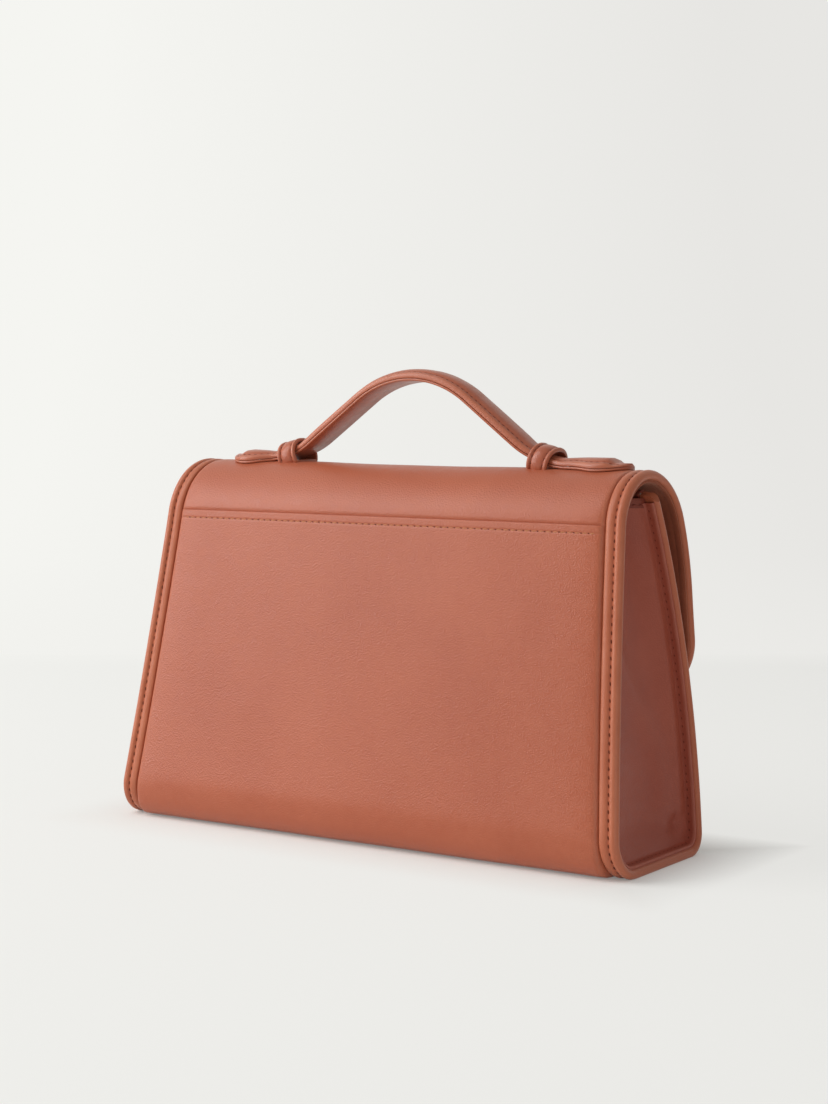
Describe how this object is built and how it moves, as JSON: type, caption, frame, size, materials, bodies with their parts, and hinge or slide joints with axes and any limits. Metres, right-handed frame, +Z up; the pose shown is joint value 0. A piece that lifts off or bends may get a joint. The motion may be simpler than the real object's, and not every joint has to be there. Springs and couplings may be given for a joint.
{
  "type": "top handle bag",
  "caption": "Structured leather flap bag with a curved top handle in two keepers, bound edges, recessed side gussets and a slip pocket on its back.",
  "frame": {"origin": "middle of the bag's base, on the surface it stands on", "axes": "+X along the width, +Y towards the back with the slip pocket, -Y towards the flap's face, +Z up"},
  "size_m": [0.2714, 0.0846, 0.2122],
  "materials": {
    "leather": "smooth calfskin with fine grain, satin",
    "edge_leather": "smooth calfskin, rolled edge",
    "strap_leather": "smooth calfskin, padded strap",
    "gusset_leather": "smooth calfskin, soft",
    "suede": "napped suede lining",
    "stiffener": "bonded fibre board",
    "magnet": "plated disc"
  },
  "bodies": {
    "bag": {"back_panel": "leather", "base_panel": "leather", "front_panel": "leather", "pocket_panel": "leather", "binding_left": "edge_leather", "binding_right": "edge_leather", "gusset_left": "gusset_leather", "gusset_right": "gusset_leather", "mouth_trim": "edge_leather", "gusset_trim_left": "edge_leather", "gusset_trim_right": "edge_leather", "back_board": "stiffener", "base_board": "stiffener", "front_board": "stiffener", "back_lining": "suede", "base_lining": "suede", "front_lining": "suede", "gusset_lining_left": "suede", "gusset_lining_right": "suede", "slip_pocket": "suede", "body_magnet": "magnet"},
    "flap": {"flap_panel": "leather", "flap_binding": "edge_leather", "flap_board": "stiffener", "flap_lining": "suede", "flap_magnet": "magnet", "keeper_left": "strap_leather", "keeper_right": "strap_leather"},
    "handle": {"handle_strap": "strap_leather", "handle_padding": "stiffener", "handle_under_strap": "strap_leather"},
    "leaf_left": {"leaf_left": "strap_leather", "leaf_under_left": "strap_leather"},
    "leaf_right": {"leaf_right": "strap_leather", "leaf_under_right": "strap_leather"}
  },
  "joints": [
    {"name": "flap_bend", "type": "hinge", "parent": "bag", "child": "flap", "pos_m": [0, 0.01846, 0.14947], "axis": [-1, 0, 0], "range_deg": [0, 135]},
    {"name": "handle_lift", "type": "slide", "parent": "flap", "child": "handle", "axis": [0, 0, 1], "range_m": [0, 0.008]},
    {"name": "left_end_slide", "type": "slide", "parent": "handle", "child": "leaf_left", "axis": [-0.5269, 0, -0.8499], "range_m": [0, 0.0095]},
    {"name": "right_end_slide", "type": "slide", "parent": "handle", "child": "leaf_right", "axis": [0.5269, 0, -0.8499], "range_m": [0, 0.0095]}
  ],
  "couplings": [
    {"joint": "left_end_slide", "follows": "handle_lift", "ratio": 1.1766},
    {"joint": "right_end_slide", "follows": "handle_lift", "ratio": 1.1766}
  ]
}
